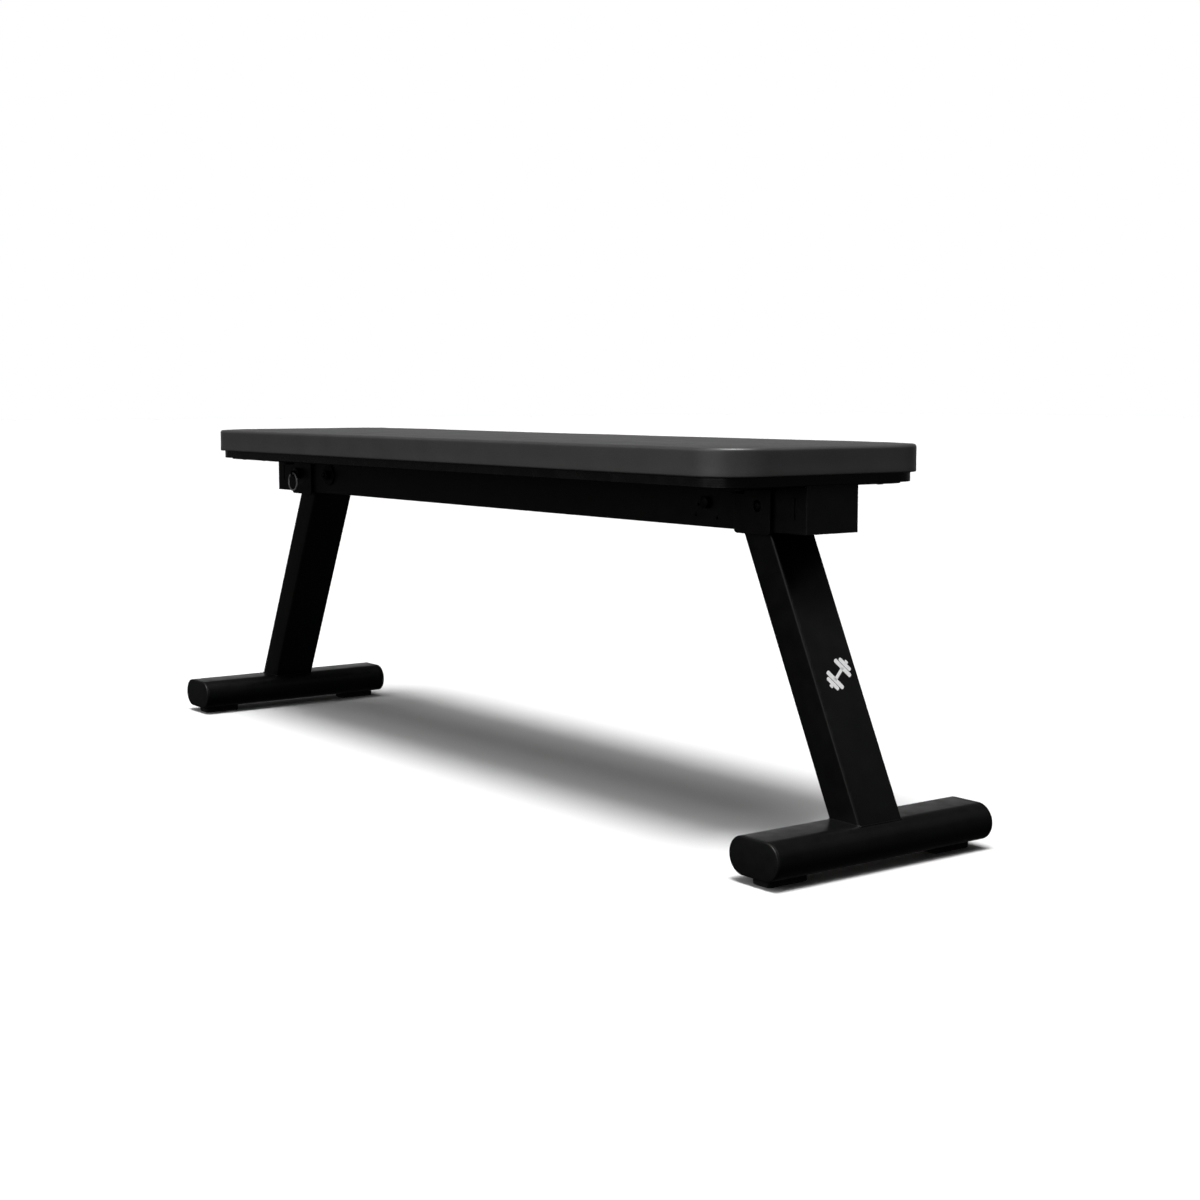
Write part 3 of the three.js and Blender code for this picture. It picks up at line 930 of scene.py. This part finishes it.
def make_lock_pin(side):
    """A turned pin with a knurled head, a flat lug and an eye for its ring."""
    low, high, _ = right_box("lock_pin")
    middle_x, middle_z = (low.x + high.x) / 2, (low.z + high.z) / 2
    matrix = across_bench(middle_x, middle_z)
    # how far from the bench's middle the head begins, and where the eye is
    seat, reach = 40.4 * MM, 49.8 * MM
    # the shank's and head's radius, and the head's length
    shank, head, length = 5 * MM, 8 * MM, 6 * MM
    bm = bmesh.new()
    # the tip: radius and distance from its end, in millimetres
    tip = [(2.6, 0.0), (3.1, 0.15), (3.5, 0.6), (4.6, 1.35), (4.9, 1.6), (5.0, 2.0)]
    profile = [(r * MM, low.y + h * MM) for r, h in tip]
    # a shallow groove near the head
    for r, h in ((5.0, -0.9), (4.7, -0.75), (4.7, -0.1), (5.0, 0.05)):
        profile.append((r * MM, seat - 4 * MM + h * MM))
    profile.append((shank, seat + 1 * MM))
    turned(bm, profile, matrix, 48)
    rings = []
    for inset, h in ((0.9, 0), (0.25, 0.3), (0, 0.9), (0, 5.1), (0.25, 5.7), (0.9, 6.0)):
        knurl = 0.28 * MM if 0.5 < h < 5.5 else 0

        def knurled(n, a):
            return head - inset * MM - knurl * (n % 2)

        rings.append(ring_about(matrix, seat + h * MM, 96, knurled))
    loft(bm, rings)
    pin = as_object(side + "_lock_pin_finished", bm)
    lug = bmesh.new()
    thick, radius, soft = 2 * MM, 4 * MM, 0.5 * MM
    outline = [(seat + length - 1 * MM, radius), (seat + length - 1 * MM, -radius)]
    for n in range(17):
        a = math.radians(-90 + 180 * n / 16)
        outline.append((reach + radius * math.cos(a), radius * math.sin(a)))
    slices = ((-thick, soft), (-thick + soft, 0), (thick - soft, 0), (thick, soft))
    rings = []
    for x, inset in slices:
        scale = 1 - inset / radius
        ring = []
        for y, z in outline:
            inner_y = reach + (y - reach) * scale if y > reach else y
            ring.append(Vector((middle_x + x, inner_y, middle_z + z * scale)))
        rings.append(ring)
    loft(lug, rings)
    carve(pin, lug, "UNION")
    eye = bmesh.new()
    turn = Matrix.Translation((middle_x, reach, middle_z)) @ Matrix.Rotation(math.radians(90), 4, "Y")
    bore = 1.7 * MM
    turned(eye, [(bore, -0.01), (bore, 0.01)], turn, 24)
    carve(pin, eye)
    round_edges(pin, 0.2, 2, 50)
    fit_out(pin, side, side + "_lock", "black_hardware", side + "_lock_pin", angle=30)


def make_ring(side):
    """A split ring: one flat wire wound twice, stepping over where the turns pass."""
    low, high, middle = right_box("pull_ring")
    outer = (high.x - low.x) / 2
    thick = high.y - low.y
    wire = 2.2 * MM
    radius = outer - wire / 2
    flat = thick / 2 - 0.06 * MM
    turns, steps, first = 1.94, 150, math.radians(100)
    corner = 0.28 * MM
    section = rounded(wire / 2, flat / 2, corner, 4)
    rings = []
    for n in range(steps + 1):
        along = turns * n / steps
        a = 2 * math.pi * along + first
        # the wire steps over to the second coil within a tenth of a turn
        step = min(max((along - turns / 2) / 0.1 + 0.5, 0), 1)
        side_step = (step * step * (3 - 2 * step) - 0.5) * thick / 2
        end = min(n, steps - n) / 3
        shrink = 1 if end >= 1 else 0.55 + 0.45 * math.sqrt(end)
        ring = []
        for u, v in section:
            r = radius + u * shrink
            ring.append(middle + Vector((r * math.cos(a), side_step + v * shrink, r * math.sin(a))))
        rings.append(ring)
    bm = bmesh.new()
    loft(bm, rings)
    ring = as_object(side + "_pull_ring_finished", bm)
    fit_out(ring, side, side + "_ring", "bright_steel", side + "_pull_ring", angle=50)


# ---------------------------------------------------------------- the legs

# the tube's size and slope; its depth is level, and its outer face meets the floor at that x
LEG = {
    "slope": 0.476,
    "wall": 2.5 * MM,
    "corner": 3 * MM,
    "outer_at_floor": 681 * MM,
    "depth": 45.2 * MM,
}
LEG_TILT = math.atan(LEG["slope"])
LEG_DOWN = Vector((math.sin(LEG_TILT), 0, -math.cos(LEG_TILT)))
LEG_OUT = Vector((math.cos(LEG_TILT), 0, math.sin(LEG_TILT)))


def leg_middle(thick):
    """A point on the right leg's middle line, at floor level."""
    return Vector((LEG["outer_at_floor"], 0, 0)) - LEG_OUT * thick / 2


def foot_depth(place, middle, half_x, radius):
    """How far a point is outside the foot bar's surface, below zero inside it."""
    across = max(abs(place.x - middle.x) - (half_x - radius), 0)
    return math.hypot(across, place.z - middle.z) - radius


def drop_to_foot(place, middle, half_x, radius):
    """Slides a point down the leg until it meets the foot bar."""
    near, far = 0.0, (place.z - middle.z) / -LEG_DOWN.z
    for _ in range(40):
        half = (near + far) / 2
        if foot_depth(place + LEG_DOWN * half, middle, half_x, radius) > 0:
            near = half
        else:
            far = half
    return place + LEG_DOWN * near


def leg_section(thick, width, inset, foot):
    """The tube's outline, slid down to the foot bar and up to the tube's level top."""
    corner = max(LEG["corner"] - inset, 0.8 * MM)
    outline = rounded(thick / 2 - inset, width / 2 - inset, corner, 8, 3, 4)
    start = leg_middle(thick) - LEG_DOWN * 0.2
    top = right_box("leg_tube")[1].z
    feet, heads = [], []
    for u, v in outline:
        place = start + LEG_OUT * u + Vector((0, v, 0))
        feet.append(drop_to_foot(place, *foot))
        heads.append(place + LEG_DOWN * ((place.z - top) / -LEG_DOWN.z))
    return feet, heads


def foot_sizes(grow):
    """The right foot bar's middle, and its half width and half height with grow added."""
    low, high, middle = right_box("foot_bar")
    return middle, (high.x - low.x) / 2 + grow, (high.z - low.z) / 2 + grow


def make_leg(side):
    """The tube, its welds, and the ears and bush at its top."""
    low, high, _ = right_box("leg_tube")
    width = high.y - low.y
    thick = LEG["depth"] * math.cos(LEG_TILT)
    gap = 0.3 * MM
    feet, heads = leg_section(thick, width, 0, foot_sizes(gap))
    inner_feet, inner_heads = leg_section(thick, width, LEG["wall"], foot_sizes(gap))
    soft = LEG_DOWN * (0.5 * MM)
    rings = [
        feet,
        [p + soft for p in heads],
        [a.lerp(b, 0.2) for a, b in zip(heads, inner_heads)],
        [a.lerp(b, 0.8) for a, b in zip(heads, inner_heads)],
        [p + soft for p in inner_heads],
        inner_feet,
    ]
    bm = bmesh.new()
    loft(bm, rings, loop=True)
    tube = as_object(side + "_leg_tube_finished", bm)
    fit_out(tube, side, side + "_leg", "black_paint", side + "_leg_tube")

    bm = bmesh.new()
    weld_bead(bm, leg_section(thick, width, 0, foot_sizes(0))[0], 0.9 * MM, True)
    ear_low, ear_high, _ = right_box("leg_ear_a")
    start, length, parts = low.x + 6 * MM, 38 * MM, 24
    for y in (ear_high.y, -ear_high.y):
        points = [Vector((start + length * n / parts, y, ear_low.z)) for n in range(parts + 1)]
        weld_bead(bm, points, 1.2 * MM, False)
    bead = as_object(side + "_leg_welds", bm)
    fit_out(bead, side, side + "_leg", "black_paint", angle=80)

    for hand in HANDS:
        soften(f"{side}_leg_ear_{hand}", 0.5, "black_paint")
    soften(side + "_pivot_bush", 0.4, "black_paint")


def weld_bead(bm, path, radius, closed):
    """A rippled bead of weld along a path."""
    spacing = 0.8 * MM
    count = len(path)
    dense = []
    for n in range(count if closed else count - 1):
        a, b = path[n], path[(n + 1) % count]
        parts = max(1, round((b - a).length / spacing))
        dense += [a.lerp(b, k / parts) for k in range(parts)]
    rings = []
    travelled = 0.0
    for n, place in enumerate(dense):
        before = dense[n - 1] if closed or n else place
        after = dense[(n + 1) % len(dense)] if closed or n + 1 < len(dense) else place
        forward = (after - before).normalized()
        travelled += (after - place).length
        side = forward.cross(Vector((0, 0, 1))).normalized()
        up = side.cross(forward)
        ripple = 1 + 0.16 * math.sin(travelled / MM * 2.6) + 0.12 * noise.noise(place * 400)
        end = 1 if closed else min(1, 0.3 + min(n, len(dense) - 1 - n) / 3)
        ring = []
        for k in range(10):
            a = 2 * math.pi * k / 10
            r = radius * ripple * end
            ring.append(place + side * (r * math.cos(a)) + up * (r * math.sin(a) * 0.9))
        rings.append(ring)
    loft(bm, rings, loop=closed)


# ---------------------------------------------------------------- the feet

def make_foot_bar(side):
    """A flat-sided round-ended tube across the floor."""
    low, high, middle = right_box("foot_bar")
    half_x, half_z = (high.x - low.x) / 2, (high.z - low.z) / 2
    soft, wall = 0.4 * MM, 2 * MM
    end = high.y
    levels = [(0, -end + soft), (0, end - soft), (soft, end), (wall, end), (wall, -end), (soft, -end)]
    rings = []
    for inset, y in levels:
        outline = stadium(half_x - inset, half_z - inset, 28)
        rings.append([Vector((middle.x + u, y, middle.z + v)) for u, v in outline])
    bm = bmesh.new()
    loft(bm, rings, loop=True)
    bar = as_object(side + "_foot_bar_finished", bm)
    fit_out(bar, side, side + "_leg", "black_paint", side + "_foot_bar")


def make_foot_cap(side, hand):
    """A plug with a slightly domed face inside a rounded rim."""
    sign = HANDS[hand]
    low, high, middle = right_box("foot_cap_" + hand)
    half_x, half_z = (high.x - low.x) / 2, (high.z - low.z) / 2
    face = max(abs(low.y), abs(high.y))
    # inset and depth behind the face, in millimetres: plug, rim, rounded rim, then the dome
    levels = [(2.3, -15.5), (2.3, -3.5), (0, -3.5), (0, -1.7)]
    for n in range(1, 6):
        a = math.radians(90 * n / 6)
        levels.append((1.6 * (1 - math.cos(a)), -1.7 + 1.1 * math.sin(a)))
    levels += [(2.2, -0.56), (3.4, -0.46), (6, -0.32), (9, -0.18), (12.5, -0.06), (16, 0), (19, 0)]
    rings = []
    for inset, depth in levels:
        outline = stadium(half_x - inset * MM, half_z - inset * MM, 28)
        y = sign * (face + depth * MM)
        rings.append([Vector((middle.x + u, y, middle.z + v)) for u, v in outline])
    bm = bmesh.new()
    loft(bm, rings)
    name = f"{side}_foot_cap_{hand}"
    cap = as_object(name + "_finished", bm)
    fit_out(cap, side, side + "_leg", "black_plastic", name)


def make_rubber_foot(side, hand):
    """A tapered rubber block with a grooved sole and a deep hole for its screw."""
    low, high, middle = right_box("rubber_foot_" + hand)
    half = (high - low) / 2
    rings = []
    # height and inset in millimetres
    for z, inset in ((0, 1.1), (0.5, 0.5), (1.3, 0.2), (7.4, 0), (8.2, 0.2), (8.6, 0.7)):
        outline = rounded(half.x - inset * MM, half.y - inset * MM, 3 * MM, 8)
        rings.append([Vector((middle.x + u, middle.y + v, z * MM)) for u, v in outline])
    bm = bmesh.new()
    loft(bm, rings)
    foot = as_object(f"{side}_rubber_foot_{hand}_finished", bm)
    hole = bmesh.new()
    place = Matrix.Translation((middle.x, middle.y, 0))
    profile = [(6.2 * MM, -0.01), (6.2 * MM, 0.0), (5.4 * MM, 1 * MM), (5.4 * MM, 4.3 * MM)]
    turned(hole, profile, place, 36)
    carve(foot, hole)
    for offset in (-21, -16, -11, 11, 16, 21):
        groove = bmesh.new()
        outline = ((-1.1, -1), (1.1, -1), (0.7, 1.3), (-0.7, 1.3))
        y = middle.y + offset * MM
        rings = [[Vector((x, y + u * MM, v * MM)) for u, v in outline]
                 for x in (middle.x - 0.02, middle.x + 0.02)]
        loft(groove, rings)
        carve(foot, groove)
    name = f"{side}_rubber_foot_{hand}"
    fit_out(foot, side, side + "_leg", "black_rubber", name)


def make_foot_screw(side, hand):
    """A pan-head screw with a cross recess, up through the rubber foot into the bar."""
    low, high, middle = right_box("foot_screw_" + hand)
    matrix = Matrix.Translation((middle.x, middle.y, 0))
    head = (high.x - low.x) / 2
    profile = [(0.4, 1.2), (2.4, 1.28), (3.8, 1.6), (4.6, 2.2), (4.8, 2.9), (4.8, 4.0), (2.0, 4.0)]
    bm = bmesh.new()
    turned(bm, [(r * MM * head / (4.8 * MM), h * MM) for r, h in profile], matrix, 36)
    threaded(bm, 2.1 * MM, 1.4 * MM, 3.9 * MM, high.z, matrix, 20)
    name = f"{side}_foot_screw_{hand}"
    screw = as_object(name + "_finished", bm)
    for long_x, long_y in ((2.2, 0.5), (0.5, 2.2)):
        slot = bmesh.new()
        rings = []
        for z, share in ((0.5, 1.1), (3.1, 0.35)):
            u, v = long_x * max(share, 0.35), long_y * max(share, 0.6)
            box = ((-u, -v), (u, -v), (u, v), (-u, v))
            rings.append([Vector((middle.x + a * MM, middle.y + b * MM, z * MM)) for a, b in box])
        loft(slot, rings)
        carve(screw, slot)
    fit_out(screw, side, side + "_leg", "zinc_hardware", name)


# ---------------------------------------------------------------- the mark on each leg

MARK_HEIGHT = 192 * MM
MARK_ASIDE = 4 * MM
MARK_TILT = 38
MARK_THICK = 0.12 * MM

# the dumbbell's parts in millimetres: distance from the middle, half width, half height, corner
DUMBBELL_BAR = (0, 10, 1.7, 1.2)
DUMBBELL_PLATES = ((9.6, 2.7, 12.5, 2.0), (15.4, 2.4, 8.8, 1.8), (19.4, 1.5, 2.2, 1.0))


def make_mark(side):
    """A generic dumbbell sign, tilted, printed on the leg's outer face."""
    middle = leg_middle(0) - LEG_DOWN * (MARK_HEIGHT / -LEG_DOWN.z) + Vector((0, MARK_ASIDE, 0))
    turn = Matrix.Rotation(math.radians(MARK_TILT), 2)
    parts = [DUMBBELL_BAR]
    for sign in (-1, 1):
        parts += [(sign * across, *sizes) for across, *sizes in DUMBBELL_PLATES]
    bm = bmesh.new()
    for across, half_u, half_v, radius in parts:
        outline = rounded(half_u * MM, half_v * MM, radius * MM, 6)
        rings = []
        for lift in (0.01 * MM, MARK_THICK):
            ring = []
            for u, v in outline:
                spot = turn @ Vector((across * MM + u, v))
                ring.append(middle + Vector((0, spot.x, 0)) - LEG_DOWN * spot.y + LEG_OUT * lift)
            rings.append(ring)
        loft(bm, rings)
    mark = as_object(side + "_leg_mark", bm)
    fit_out(mark, side, side + "_leg", None, material=make_mark_print())


# ---------------------------------------------------------------- everything in its place

make_studio()
make_cushion()
make_seat_frame()
make_staples()
for side in END:
    make_pivot(side)
    make_lock_pin(side)
    make_ring(side)
    make_leg(side)
    make_foot_bar(side)
    make_mark(side)
    for hand in HANDS:
        make_bracket(side, hand)
        make_bracket_bolt(side, hand)
        make_foot_cap(side, hand)
        make_rubber_foot(side, hand)
        make_foot_screw(side, hand)
